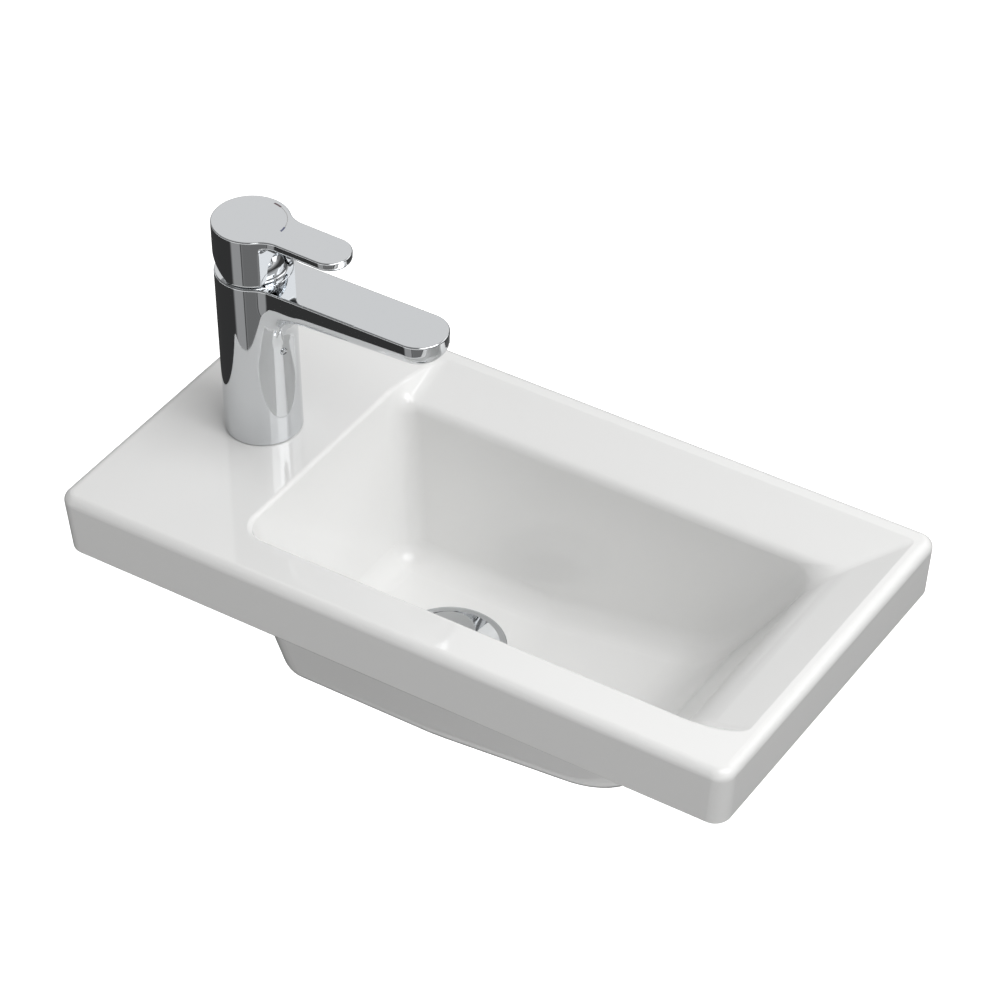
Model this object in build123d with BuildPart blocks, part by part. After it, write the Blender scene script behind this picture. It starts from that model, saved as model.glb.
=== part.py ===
from build123d import *
import math
import os

# Vanity basin 450 x 238 mm with a side tap deck, a single-lever mixer and a push-to-open waste.
# Origin: middle of the back (wall) edge, on the plane where the rim sits on the cabinet.
# +X runs along the basin away from the tap, -Y is the front, +Z is up. Millimetres.

os.makedirs("parts", exist_ok=True)


def keep(piece, name):
    """Label a finished piece and write it as one STEP file."""
    piece.part.label = name
    export_step(piece.part, f"parts/{name}.step")


# Driving dimensions of the china
basin_length = 450
basin_depth = 238
rim_height = 40
end_draft = 3
front_draft = 1
plan_corner = 10
rim_edge = 6
lower_edge = 2
china_wall = 10
rim_wall = 10
deck_thickness = 12
deck_length = 110
left_lean = 11
front_rim = 30
front_lean = 30
back_rim = 11
back_ledge = 48
ledge_drop = 11
back_lean = 12
floor_depth = 117
ramp_foot_from_end = 108
ramp_foot_rise = 15.5
ramp_top_from_end = 46
ramp_top_drop = 13
ramp_crest_from_end = 9
slope_radius = 150
ramp_foot_radius = 60
ramp_top_radius = 45
bowl_corner = 15
outer_corner = 20
ledge_round = 7
crease_round = 3
hollow_corner = 5
wall_bolt_spacing = 280
wall_bolt_hole = 12
wall_bolt_height = 14

# Waste, with heights and drops taken from the bowl floor
waste_from_end = 190
waste_land = 34
waste_hole_radius = 22.5
waste_bevel_drop = 7
boss_radius = 36
boss_drop = 4
flange_radius = 35
flange_lip = 0.8
flange_thickness = 1.6
flange_edge = 1.4
flange_crown_width = 4
flange_crown_drop = 0.2
dish_radius = 17.5
dish_drop = 5.6
throat_radius = 15.9
throat_drop = 6.4
throat_length = 2
tail_radius = 20.95
tail_wall = 3.35
tail_length = 52
relief_width = 1.5
relief_depth = 0.6
waste_seal_inner = 30
waste_seal_set_back = 0.5
waste_seal_thickness = 1.7
cone_seal_radius = 32
cone_seal_taper = 5
cone_seal_height = 5
slip_washer_radius = 31
slip_washer_thickness = 2.5
waste_nut_height = 8.5
waste_nut_flats = 56
nut_corner_share = 0.97
hub_radius = 10
cross_bar_drop = 16
cross_bar_height = 6
cross_bar_width = 6
latch_radius = 6.5
latch_drop = 9
latch_length = 33
latch_roof = 2.2
latch_floor = 3
latch_foot_chamfer = 1
latch_collar_width = 1.5
latch_collar_height = 2
plunger_radius = 4
plunger_height = 2.5
plug_stem_radius = 3
plug_stem_engagement = 2
plug_stem_chamfer = 0.5
plug_radius = 16.6
plug_top = 13.5
plug_height = 5.7
plug_crown = 0.7
plug_edge = 1.4
plug_hub_radius = 12
plug_hub_height = 3.6
plug_lip_radius = 13
plug_seal_radius = 16.3
plug_seal_thickness = 1.8
spring_radius = 2.8
spring_wire = 1
spring_turns = 8

# Mixer body, with heights taken from the deck
tap_from_end = 63
tap_hole_radius = 17.5
body_radius = 23.3
body_height = 113.6
base_seal_outer = 21.6
base_seal_inner = 18.2
base_seal_thickness = 2
base_seal_proud = 0.4
spout_half_width = 16
spout_reach = 131.5
spout_root_thickness = 16.3
spout_tip_thickness = 12.3
spout_blend = 20
spout_lower_edge = 4
spout_top_edge = 1
aerator_from_tip = 19.5
aerator_radius = 10.25
aerator_wall = 1.6
aerator_height = 6.4
aerator_proud = 0.6
aerator_edge = 0.5
aerator_insert_recess = 0.6
aerator_gasket_thickness = 1
aerator_gasket_overlap = 1.5
aerator_holes = 6
aerator_hole_radius = 0.8
aerator_inner_ring = 3.1
aerator_outer_ring = 6.4
waterway_radius = 3.6
waterway_drop = 7.6
waterway_start = 17
waterway_dip = 9
waterway_climb = 22
waterway_turn = 32
chamber_radius = 17.5
chamber_depth = 37.6
gallery_radius = 19.8
gallery_drop = 14.6
gallery_height = 21
inlet_radius = 4.5
inlet_spacing = 15
inlet_offset = 3.5
inlet_depth = 16
stud_offset = -11
stud_radius = 4
stud_length = 66
stud_chamfer = 0.7
stud_hole_depth = 14
chain_plug_radius = 2
chain_plug_length = 5
chain_plug_proud = 0.3
chain_plug_edge = 0.6
chain_plug_height = 65.5
chain_plug_turn = -16

# Fixing under the deck
gasket_thickness = 3
gasket_edge = 1
plate_thickness = 2.5
plate_edge = 1.5
plate_radius = 24
hose_slot_half_width = 14.5
hose_slot_end = -4
stud_nut_height = 10
stud_nut_flats = 13

# Ceramic-disc cartridge
cartridge_base_height = 6
cartridge_seal_radius = 4.35
cartridge_seal_inner = 2.9
cartridge_seal_thickness = 1.2
port_radius = 2.3
port_spacing = 13
outlet_radius = 3
outlet_offset = -6
outlet_depth = 3.5
outlet_floor = 1
disc_thickness = 4
fixed_disc_radius = 15.2
moving_disc_radius = 12.2
pocket_length = 9
pocket_width = 15
pocket_depth = 2
pocket_corner = 3
pocket_set_back = 3.5
carrier_radius = 11.5
carrier_plate = 5
carrier_boss_half = 6
carrier_boss_height = 7
carrier_boss_corner = 1.5
ball_hole_radius = 3.35
housing_wall = 2
housing_height = 23
turret_neck_radius = 10.5
turret_flange_height = 7.8
turret_rise = 6
turret_slot_length = 13
cartridge_nut_height = 6
cartridge_nut_bore = 13.4
cartridge_nut_notch = 3
nut_thread_radius = 18.5
pivot_drop = 1.6
pin_radius = 1.5
pin_length = 18
pin_chamfer = 0.3
stem_lean = 12
stem_arm = 13.5
stem_ball = 3
stem_neck_radius = 2.2
stem_depth = 7
stem_width = 6
stem_below = 6
stem_above = 30
stem_chamfer = 0.6
cover_radius = 20
cover_wall = 1.5
cover_hole_radius = 9.4
cover_seat_depth = 2.2

# Lever, with rises taken from the top of the body
lever_rise = 33.9
lever_gap = 0.4
lever_back_angle = 25
lever_back_start = 2
lever_cavity_gap = 0.6
lever_edge = 1
handle_thickness = 4.6
handle_half_width = 13.1
handle_reach = 69.3
handle_neck_radius = 17
arch_half_width = 13
arch_top_half_width = 10
arch_rise = 21.1
arch_corner = 4
arch_chamfer = 3.3
arch_depth_start = 8
grub_radius = 2.5
grub_length = 7.8
grub_rise = 24
grub_key = 2.5
grub_key_depth = 2.5
grub_cap_length = 4
grub_cap_recess = 0.2
grub_cap_edge = 0.4

# Clearances
thread_clearance = 0.05
running_clearance = 0.05
slide_clearance = 0.2
seat_clearance = 0.3

# How far cuts and sections run past what they cut, and how near a picked edge lies to its place
overrun = 1
rim_overrun = 12
floor_overrun = 25
near = 0.5

# Places worked out from the sizes above
middle_y = -basin_depth / 2
bowl_left = -basin_length / 2 + deck_length
bowl_front = -basin_depth + front_rim
floor_z = rim_height - floor_depth
crest_x = basin_length / 2 - ramp_crest_from_end
waste_x = -basin_length / 2 + waste_from_end
tap_x = -basin_length / 2 + tap_from_end
above_rim = rim_height + rim_overrun
below_floor = floor_z - floor_overrun
end_flare = end_draft * rim_edge / (rim_height - rim_edge)
hollow_height = rim_height - deck_thickness
hollow_length = basin_length - 2 * end_draft - 2 * rim_wall
hollow_depth = basin_depth - front_draft - 2 * rim_wall
hollow_y = -rim_wall - hollow_depth / 2
pivot_height = body_height - pivot_drop
lever_height = body_height + lever_rise
arch_top = body_height + arch_rise
grub_height = body_height + grub_rise
gallery_top = body_height - gallery_drop
gallery_bottom = gallery_top - gallery_height

tap_section = Plane(origin=(tap_x, middle_y, rim_height), x_dir=(1, 0, 0), z_dir=(0, -1, 0))
tap_across = Plane(origin=(tap_x, middle_y, rim_height), x_dir=(0, 1, 0), z_dir=(1, 0, 0))
pivot_section = Plane(
    origin=(tap_x, middle_y, rim_height + pivot_height), x_dir=(1, 0, 0), z_dir=(0, -1, 0)
)
tap_axis = Axis((tap_x, middle_y, rim_height), (0, 0, 1))
waste_section = Plane(origin=(waste_x, middle_y, floor_z), x_dir=(1, 0, 0), z_dir=(0, -1, 0))
waste_axis = Axis((waste_x, middle_y, floor_z), (0, 0, 1))

chain_plug_way = (math.cos(math.radians(chain_plug_turn)), math.sin(math.radians(chain_plug_turn)), 0)
chain_plug_plane = Plane(
    origin=(
        tap_x + (body_radius + chain_plug_proud) * chain_plug_way[0],
        middle_y + (body_radius + chain_plug_proud) * chain_plug_way[1],
        rim_height + chain_plug_height,
    ),
    z_dir=chain_plug_way,
)


def above_deck(height):
    """Level plane on the mixer's axis, at a height above the deck."""
    return Plane(origin=(tap_x, middle_y, rim_height + height))


def above_floor(height):
    """Level plane on the waste's axis, at a height above the bowl floor."""
    return Plane(origin=(waste_x, middle_y, floor_z + height))


def past(low, high, height):
    """The point at a height on the line through two points."""
    share = (height - low[1]) / (high[1] - low[1])
    return (low[0] + (high[0] - low[0]) * share, height)


# The bowl is a long section crossed with a cross section. Both run on past the rim at the same
# slopes, so that the deck plane cuts them cleanly.
left_foot = (bowl_left + left_lean, floor_z)
left_top = (bowl_left, rim_height)
slope_start = (waste_x + waste_land, floor_z)
ramp_foot = (basin_length / 2 - ramp_foot_from_end, floor_z + ramp_foot_rise)
ramp_top = (basin_length / 2 - ramp_top_from_end, rim_height - ramp_top_drop)
ramp_crest = (crest_x, rim_height)
front_foot = (bowl_front + front_lean, floor_z)
front_top = (bowl_front, rim_height)
back_foot = (-back_ledge - back_lean, floor_z)
back_crease = (-back_ledge, rim_height - ledge_drop)
back_crest = (-back_rim, rim_height)
long_section = [
    past(left_foot, left_top, above_rim),
    left_foot,
    slope_start,
    ramp_foot,
    ramp_top,
    past(ramp_top, ramp_crest, above_rim),
]
long_radii = [0, 0, slope_radius, ramp_foot_radius, ramp_top_radius, 0]
cross_section = [
    past(front_foot, front_top, above_rim),
    past(front_top, front_foot, below_floor),
    past(back_crease, back_foot, below_floor),
    back_crease,
    past(back_crease, back_crest, above_rim),
]
cross_radii = [0, 0, 0, ledge_round, 0]


def bowl_shape(grow, corner):
    """The bowl space with its corners rounded, or with grow the outside of the china round it."""
    with BuildPart() as space:
        with BuildSketch(Plane.XZ.offset(-middle_y)):
            with BuildLine():
                FilletPolyline(*long_section, radius=long_radii, close=True)
            make_face()
            if grow:
                offset(amount=grow, kind=Kind.INTERSECTION)
        extrude(amount=basin_depth, both=True)
        with BuildSketch(Plane.YZ):
            with BuildLine():
                FilletPolyline(*cross_section, radius=cross_radii, close=True)
            make_face()
            if grow:
                offset(amount=grow, kind=Kind.INTERSECTION)
        extrude(amount=basin_length, both=True, mode=Mode.INTERSECT)
        top_edges = space.edges().group_by(Axis.Z)[-1]
        ledge_lines = space.edges().filter_by(Axis.X).filter_by(lambda e: e.center().Z > 0)
        floor_left = space.edges().filter_by(Axis.Y).group_by(Axis.Z)[0].sort_by(Axis.X)[0]
        corners = space.edges().filter_by(Axis.Y, reverse=True) - top_edges - ledge_lines
        fillet(corners + [floor_left], corner)
    return space.part


bowl_space = bowl_shape(0, bowl_corner)

with BuildPart() as bowl_outside:
    add(bowl_shape(china_wall, outer_corner))
    with BuildSketch(Plane.XY.offset(rim_height - deck_thickness / 2)):
        with Locations((0, hollow_y)):
            Rectangle(hollow_length + rim_wall, hollow_depth + rim_wall)
    extrude(amount=-basin_depth, mode=Mode.INTERSECT)

# China: a slab hollow from below, with the bowl hanging in it
with BuildPart() as basin_body:
    with BuildSketch(Plane.XY):
        with Locations((0, (front_draft - basin_depth) / 2)):
            RectangleRounded(basin_length - 2 * end_draft, basin_depth - front_draft, plan_corner)
    with BuildSketch(Plane.XY.offset(rim_height)):
        with Locations((0, middle_y)):
            RectangleRounded(basin_length + 2 * end_flare, basin_depth, plan_corner)
    loft(ruled=True)
    fillet(basin_body.faces().sort_by(Axis.Z)[-1].edges(), rim_edge)
    fillet(basin_body.faces().sort_by(Axis.Z)[0].edges(), lower_edge)
    with BuildSketch(Plane.XY):
        with Locations((0, hollow_y)):
            RectangleRounded(hollow_length, hollow_depth, hollow_corner)
    extrude(amount=hollow_height, mode=Mode.SUBTRACT)
    add(bowl_outside.part)
    with BuildSketch(above_floor(-china_wall - boss_drop)):
        Circle(boss_radius)
    extrude(amount=china_wall)
    add(bowl_space, mode=Mode.SUBTRACT)
    fillet(basin_body.faces().sort_by(Axis.Z)[-1].inner_wires()[0].edges(), crease_round)
    with BuildSketch(waste_section):
        with BuildLine():
            Polyline(
                (0, overrun),
                (flange_radius + seat_clearance, overrun),
                (flange_radius + seat_clearance, -flange_thickness + flange_lip - waste_seal_thickness),
                (waste_seal_inner - seat_clearance, -flange_thickness + flange_lip - waste_seal_thickness),
                (waste_hole_radius, -waste_bevel_drop),
                (waste_hole_radius, -basin_depth),
                (0, -basin_depth),
                close=True,
            )
        make_face()
    revolve(axis=waste_axis, mode=Mode.SUBTRACT)
    with BuildSketch(above_deck(0)):
        Circle(tap_hole_radius)
    extrude(amount=-deck_thickness, mode=Mode.SUBTRACT)
    with BuildSketch(Plane.XZ):
        with Locations((0, wall_bolt_height)):
            with GridLocations(wall_bolt_spacing, 0, 2, 1):
                Circle(wall_bolt_hole / 2)
    extrude(amount=rim_wall, mode=Mode.SUBTRACT)
keep(basin_body, "basin_body")


def ring(plane, outer, inner, height, name):
    """A flat ring standing on a level plane, as for seals and washers."""
    with BuildPart() as piece:
        with BuildSketch(plane):
            Circle(outer)
            Circle(inner, mode=Mode.SUBTRACT)
        extrude(amount=height)
    keep(piece, name)


# Waste: flanged tube with the cross bar that holds the latch
flange_under = flange_lip - flange_thickness
seal_under = flange_under - waste_seal_thickness
cone_top = -china_wall - boss_drop
washer_bottom = cone_top - cone_seal_height - slip_washer_thickness
relief_top = washer_bottom - waste_nut_height - seat_clearance
throat_end = -throat_drop - throat_length
with BuildPart() as waste_body:
    with BuildSketch(waste_section):
        with BuildLine():
            Polyline(
                (flange_radius, flange_under),
                (flange_radius, flange_lip / 2),
                (flange_radius - flange_edge, flange_lip),
                (flange_radius - flange_crown_width, flange_lip - flange_crown_drop),
                (dish_radius, -dish_drop),
                (throat_radius, -throat_drop),
                (throat_radius, throat_end),
                (tail_radius - tail_wall, throat_end + throat_radius - tail_radius + tail_wall),
                (tail_radius - tail_wall, -tail_length),
                (tail_radius, -tail_length),
                (tail_radius, relief_top - relief_width),
                (tail_radius - relief_depth, relief_top - relief_width),
                (tail_radius - relief_depth, relief_top),
                (tail_radius, relief_top),
                (tail_radius, -waste_bevel_drop),
                (waste_seal_inner, flange_under),
                close=True,
            )
        make_face()
    revolve(axis=waste_axis)
    with BuildSketch(above_floor(-cross_bar_drop)):
        Circle(hub_radius)
        Rectangle(2 * tail_radius - tail_wall, cross_bar_width)
        Circle(latch_radius, mode=Mode.SUBTRACT)
    extrude(amount=-cross_bar_height)
keep(waste_body, "waste_body")

ring(
    above_floor(seal_under),
    flange_radius - waste_seal_set_back,
    waste_seal_inner,
    waste_seal_thickness,
    "waste_top_seal",
)

# Parts that clamp the waste from below, one under the other
with BuildPart() as waste_cone_seal:
    with BuildSketch(waste_section):
        with BuildLine():
            Polyline(
                (tail_radius + slide_clearance, cone_top),
                (cone_seal_radius - cone_seal_taper, cone_top),
                (cone_seal_radius, cone_top - cone_seal_height),
                (tail_radius + slide_clearance, cone_top - cone_seal_height),
                close=True,
            )
        make_face()
    revolve(axis=waste_axis)
keep(waste_cone_seal, "waste_cone_seal")

ring(
    above_floor(washer_bottom),
    slip_washer_radius,
    tail_radius + slide_clearance,
    slip_washer_thickness,
    "waste_slip_washer",
)


def hex_nut(plane, flats, bore, height, name):
    """A hexagon nut hanging below a level plane, its outer corners chamfered."""
    with BuildPart() as piece:
        with BuildSketch(plane):
            RegularPolygon(flats / 2, 6, major_radius=False)
        extrude(amount=-height)
        with BuildSketch(plane):
            Circle(nut_corner_share * flats / math.sqrt(3))
        extrude(amount=-height, mode=Mode.INTERSECT)
        with BuildSketch(plane):
            Circle(bore)
        extrude(amount=-height, mode=Mode.SUBTRACT)
    keep(piece, name)


hex_nut(
    above_floor(washer_bottom),
    waste_nut_flats,
    tail_radius + thread_clearance,
    waste_nut_height,
    "waste_back_nut",
)

# Latch of the push plug: a closed tube in the hub, with a collar above it
chamber_top = -latch_drop - latch_roof
chamber_floor = -latch_drop - latch_length + latch_floor
with BuildPart() as latch_body:
    with BuildSketch(above_floor(-latch_drop)):
        Circle(latch_radius - thread_clearance)
    extrude(amount=-latch_length)
    with BuildSketch(above_floor(chamber_top)):
        Circle(plunger_radius + running_clearance)
    extrude(amount=chamber_floor - chamber_top, mode=Mode.SUBTRACT)
    with BuildSketch(above_floor(-latch_drop)):
        Circle(plug_stem_radius + running_clearance)
    extrude(amount=-latch_roof, mode=Mode.SUBTRACT)
    with BuildSketch(above_floor(-cross_bar_drop)):
        Circle(latch_radius + latch_collar_width)
        Circle(latch_radius - overrun, mode=Mode.SUBTRACT)
    extrude(amount=latch_collar_height)
    chamfer(latch_body.edges().group_by(Axis.Z)[0], latch_foot_chamfer)
keep(latch_body, "latch_body")

plunger_top = chamber_top - seat_clearance
plunger_bottom = plunger_top - plunger_height
plug_bottom = plug_top - plug_height
with BuildPart() as plug_stem:
    with BuildSketch(above_floor(plunger_bottom)):
        Circle(plunger_radius)
    extrude(amount=plunger_height)
    with BuildSketch(above_floor(plunger_bottom)):
        Circle(plug_stem_radius)
    extrude(amount=plug_bottom + plug_stem_engagement - plunger_bottom)
    chamfer(plug_stem.edges().group_by(Axis.Z)[-1], plug_stem_chamfer)
keep(plug_stem, "plug_stem")

# Chromed plug: a crowned cap with a hub below it, and a lip that holds the seal up
with BuildPart() as plug_cap:
    with BuildSketch(waste_section):
        with BuildLine():
            crown = ThreePointArc(
                (0, plug_top),
                (plug_radius / 2, plug_top - plug_crown / 4),
                (plug_radius, plug_top - plug_crown),
            )
            Polyline(
                crown @ 1,
                (plug_radius, plug_bottom),
                (plug_hub_radius, plug_bottom),
                (plug_hub_radius, plug_bottom - plug_seal_thickness),
                (plug_lip_radius, plug_bottom - plug_seal_thickness),
                (plug_lip_radius, plug_bottom - plug_hub_height),
                (0, plug_bottom - plug_hub_height),
                (0, plug_top),
            )
        make_face()
        fillet(vertices().sort_by(Axis.Z).sort_by(Axis.X)[-1], plug_edge)
    revolve(axis=waste_axis)
    with BuildSketch(above_floor(plug_bottom - plug_hub_height)):
        Circle(plug_stem_radius + thread_clearance)
    extrude(amount=plug_hub_height + plug_stem_engagement, mode=Mode.SUBTRACT)
keep(plug_cap, "plug_cap")

ring(
    above_floor(plug_bottom - plug_seal_thickness),
    plug_seal_radius,
    plug_hub_radius + thread_clearance,
    plug_seal_thickness,
    "plug_seal",
)

# Return spring between the plunger and the chamber floor
spring_top = plunger_bottom - seat_clearance - spring_wire / 2
spring_foot = chamber_floor + seat_clearance + spring_wire / 2
spring_height = spring_top - spring_foot
with BuildPart() as latch_spring:
    with BuildLine(above_floor(spring_foot)):
        turns = Helix(pitch=spring_height / spring_turns, height=spring_height, radius=spring_radius)
    with BuildSketch(Plane(origin=turns @ 0, z_dir=turns % 0)):
        Circle(spring_wire / 2)
    sweep(path=turns)
keep(latch_spring, "latch_spring")

# Mixer body: a cylinder with a flat spout, blended at the root
spout_end = spout_reach - spout_half_width
aerator_x = spout_reach - aerator_from_tip
tip_under = (spout_reach, body_height - spout_tip_thickness)
root_under = (body_radius, body_height - spout_root_thickness)
under_slope = (tip_under[1] - root_under[1]) / (tip_under[0] - root_under[0])
axis_under = (0, root_under[1] - body_radius * under_slope)
aerator_under = root_under[1] + (aerator_x - body_radius) * under_slope
chamber_floor_height = body_height - chamber_depth
shoulder = chamber_floor_height + cartridge_base_height + housing_height
cover_seat = body_height - cover_seat_depth


def under_spout(edge):
    """True for the spout's two lower edges and the one round its tip."""
    middle = edge.center()
    return middle.X > tap_x + 2 * body_radius and middle.Z < rim_height + tip_under[1] + near


with BuildPart() as tap_body:
    with BuildSketch(tap_section):
        with BuildLine():
            Polyline(
                (0, body_height),
                (spout_reach, body_height),
                tip_under,
                axis_under,
                close=True,
            )
        make_face()
    extrude(amount=spout_half_width, both=True)
    with BuildSketch(above_deck(body_height)):
        with Locations((spout_end / 2, 0)):
            Rectangle(spout_end, 2 * spout_half_width)
        with Locations((spout_end, 0)):
            Circle(spout_half_width)
    extrude(amount=-2 * spout_root_thickness, mode=Mode.INTERSECT)
    with BuildSketch(above_deck(base_seal_proud)):
        Circle(body_radius)
    extrude(amount=body_height - base_seal_proud)
    root_edges = tap_body.edges(Select.NEW).filter_by_position(
        Axis.Z, rim_height + axis_under[1] + near, rim_height + body_height - near
    )
    fillet(root_edges, spout_blend)
    fillet(tap_body.edges().filter_by(under_spout), spout_lower_edge)
    fillet(tap_body.faces().sort_by(Axis.Z)[-1].outer_wire().edges(), spout_top_edge)
    # Cartridge chamber, with the gallery that feeds the spout, the nut's thread and the cover's seat
    with BuildSketch(tap_section):
        with BuildLine():
            Polyline(
                (0, chamber_floor_height),
                (chamber_radius, chamber_floor_height),
                (chamber_radius, gallery_bottom),
                (gallery_radius, gallery_bottom),
                (gallery_radius, gallery_top),
                (nut_thread_radius, gallery_top),
                (nut_thread_radius, cover_seat),
                (cover_radius + seat_clearance, cover_seat),
                (cover_radius + seat_clearance, body_height + overrun),
                (0, body_height + overrun),
                close=True,
            )
        make_face()
    revolve(axis=tap_axis, mode=Mode.SUBTRACT)
    # Waterway: a slanting bore out of the gallery, then one along the spout to the aerator
    with BuildSketch(
        Plane(
            origin=(tap_x + waterway_start, middle_y, rim_height + gallery_top - waterway_dip),
            z_dir=(1, 0, 1),
        )
    ):
        Circle(waterway_radius)
    extrude(amount=waterway_climb, mode=Mode.SUBTRACT)
    with BuildSketch(
        Plane(
            origin=(tap_x + waterway_turn, middle_y, rim_height + body_height - waterway_drop),
            z_dir=(1, 0, 0),
        )
    ):
        Circle(waterway_radius)
    extrude(amount=aerator_x - waterway_turn, mode=Mode.SUBTRACT)
    with BuildSketch(above_deck(aerator_under - overrun)):
        with Locations((aerator_x, 0)):
            Circle(aerator_radius + thread_clearance)
    extrude(amount=overrun + aerator_height + aerator_gasket_thickness, mode=Mode.SUBTRACT)
    # Underside: seal recess, stud hole and two threaded inlets with their ports
    with BuildSketch(above_deck(base_seal_proud)):
        Circle(base_seal_outer + slide_clearance)
    extrude(amount=base_seal_thickness - base_seal_proud, mode=Mode.SUBTRACT)
    with BuildSketch(above_deck(base_seal_thickness)):
        with Locations((stud_offset, 0)):
            Circle(stud_radius + thread_clearance)
    extrude(amount=stud_hole_depth, mode=Mode.SUBTRACT)
    with BuildSketch(above_deck(base_seal_thickness)):
        with Locations((inlet_offset, 0)):
            with GridLocations(0, inlet_spacing, 1, 2):
                Circle(inlet_radius)
    extrude(amount=inlet_depth, mode=Mode.SUBTRACT)
    with BuildSketch(above_deck(base_seal_thickness)):
        with Locations((inlet_offset, 0)):
            with GridLocations(0, port_spacing, 1, 2):
                Circle(port_radius)
    extrude(amount=chamber_floor_height - base_seal_thickness, mode=Mode.SUBTRACT)
    with BuildSketch(chain_plug_plane):
        Circle(chain_plug_radius + thread_clearance)
    extrude(amount=-chain_plug_length, mode=Mode.SUBTRACT)
keep(tap_body, "tap_body")

ring(above_deck(0), base_seal_outer, base_seal_inner, base_seal_thickness, "tap_base_seal")

with BuildPart() as chain_stay_plug:
    with BuildSketch(chain_plug_plane):
        Circle(chain_plug_radius)
    extrude(amount=-chain_plug_length)
    fillet(chain_stay_plug.faces().sort_by(Axis((0, 0, 0), chain_plug_way))[-1].edges(), chain_plug_edge)
keep(chain_stay_plug, "chain_stay_plug")

# Aerator: a threaded ring, the insert in it and the washer above them
aerator_bottom = aerator_under - aerator_proud
with BuildPart() as aerator_housing:
    with BuildSketch(above_deck(aerator_bottom)):
        with Locations((aerator_x, 0)):
            Circle(aerator_radius)
    extrude(amount=aerator_height)
    with BuildSketch(above_deck(aerator_bottom)):
        with Locations((aerator_x, 0)):
            Circle(aerator_radius - aerator_wall)
    extrude(amount=aerator_height, mode=Mode.SUBTRACT)
    fillet(aerator_housing.edges().group_by(Axis.Z)[0], aerator_edge)
keep(aerator_housing, "aerator_housing")

with BuildPart() as aerator_insert:
    with BuildSketch(above_deck(aerator_bottom + aerator_insert_recess)):
        with Locations((aerator_x, 0)):
            Circle(aerator_radius - aerator_wall - running_clearance)
            Circle(aerator_hole_radius, mode=Mode.SUBTRACT)
            with PolarLocations(aerator_inner_ring, aerator_holes):
                Circle(aerator_hole_radius, mode=Mode.SUBTRACT)
            with PolarLocations(aerator_outer_ring, 2 * aerator_holes):
                Circle(aerator_hole_radius, mode=Mode.SUBTRACT)
    extrude(amount=aerator_height - aerator_insert_recess)
keep(aerator_insert, "aerator_insert")

with BuildPart() as aerator_gasket:
    with BuildSketch(above_deck(aerator_bottom + aerator_height)):
        with Locations((aerator_x, 0)):
            Circle(aerator_radius)
            Circle(aerator_radius - aerator_wall - aerator_gasket_overlap, mode=Mode.SUBTRACT)
    extrude(amount=aerator_gasket_thickness)
keep(aerator_gasket, "aerator_gasket")

# Fixing: a stud up into the body, with a horseshoe gasket, a plate and a nut under the deck
with BuildPart() as mounting_stud:
    with BuildSketch(above_deck(base_seal_thickness + stud_hole_depth - seat_clearance)):
        with Locations((stud_offset, 0)):
            Circle(stud_radius)
    extrude(amount=-stud_length)
    chamfer(mounting_stud.faces().filter_by(Axis.Z).edges(), stud_chamfer)
keep(mounting_stud, "mounting_stud")


def horseshoe(top, thickness, edge, name):
    """A round plate below the deck, slotted from one side to let the hoses past."""
    with BuildPart() as piece:
        with BuildSketch(above_deck(top)):
            Circle(plate_radius)
            with Locations((hose_slot_end + plate_radius, 0)):
                Rectangle(2 * plate_radius, 2 * hose_slot_half_width, mode=Mode.SUBTRACT)
            fillet(vertices(), edge)
            with Locations((stud_offset, 0)):
                Circle(stud_radius + slide_clearance, mode=Mode.SUBTRACT)
        extrude(amount=-thickness)
    keep(piece, name)


horseshoe(-deck_thickness, gasket_thickness, gasket_edge, "mounting_gasket")
horseshoe(-deck_thickness - gasket_thickness, plate_thickness, plate_edge, "mounting_plate")
hex_nut(
    Plane(
        origin=(
            tap_x + stud_offset,
            middle_y,
            rim_height - deck_thickness - gasket_thickness - plate_thickness,
        )
    ),
    stud_nut_flats,
    stud_radius + thread_clearance,
    stud_nut_height,
    "stud_nut",
)


# Ceramic-disc cartridge: the base with two inlet ports and an outlet that leaves through its side
disc_floor = chamber_floor_height + cartridge_base_height
carrier_floor = disc_floor + 2 * disc_thickness
cartridge_radius = chamber_radius - 2 * running_clearance
housing_inner = cartridge_radius - housing_wall
with BuildPart() as cartridge_base:
    with BuildSketch(above_deck(chamber_floor_height)):
        Circle(cartridge_radius)
        with Locations((inlet_offset, 0)):
            with GridLocations(0, port_spacing, 1, 2):
                Circle(port_radius, mode=Mode.SUBTRACT)
    extrude(amount=cartridge_base_height)
    with BuildSketch(above_deck(chamber_floor_height)):
        with Locations((inlet_offset, 0)):
            with GridLocations(0, port_spacing, 1, 2):
                Circle(cartridge_seal_radius + running_clearance)
    extrude(amount=cartridge_seal_thickness, mode=Mode.SUBTRACT)
    with BuildSketch(above_deck(disc_floor)):
        with Locations((outlet_offset, 0)):
            Circle(outlet_radius)
    extrude(amount=-outlet_depth, mode=Mode.SUBTRACT)
    with BuildSketch(above_deck(disc_floor - outlet_depth)):
        with Locations((outlet_offset - cartridge_radius, 0)):
            Rectangle(2 * cartridge_radius, 2 * outlet_radius)
    extrude(amount=outlet_depth - outlet_floor, mode=Mode.SUBTRACT)
keep(cartridge_base, "cartridge_base")

with BuildPart() as cartridge_seals:
    with BuildSketch(above_deck(chamber_floor_height)):
        with Locations((inlet_offset, 0)):
            with GridLocations(0, port_spacing, 1, 2):
                Circle(cartridge_seal_radius)
                Circle(cartridge_seal_inner, mode=Mode.SUBTRACT)
    extrude(amount=cartridge_seal_thickness)
keep(cartridge_seals, "cartridge_seals")

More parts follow.
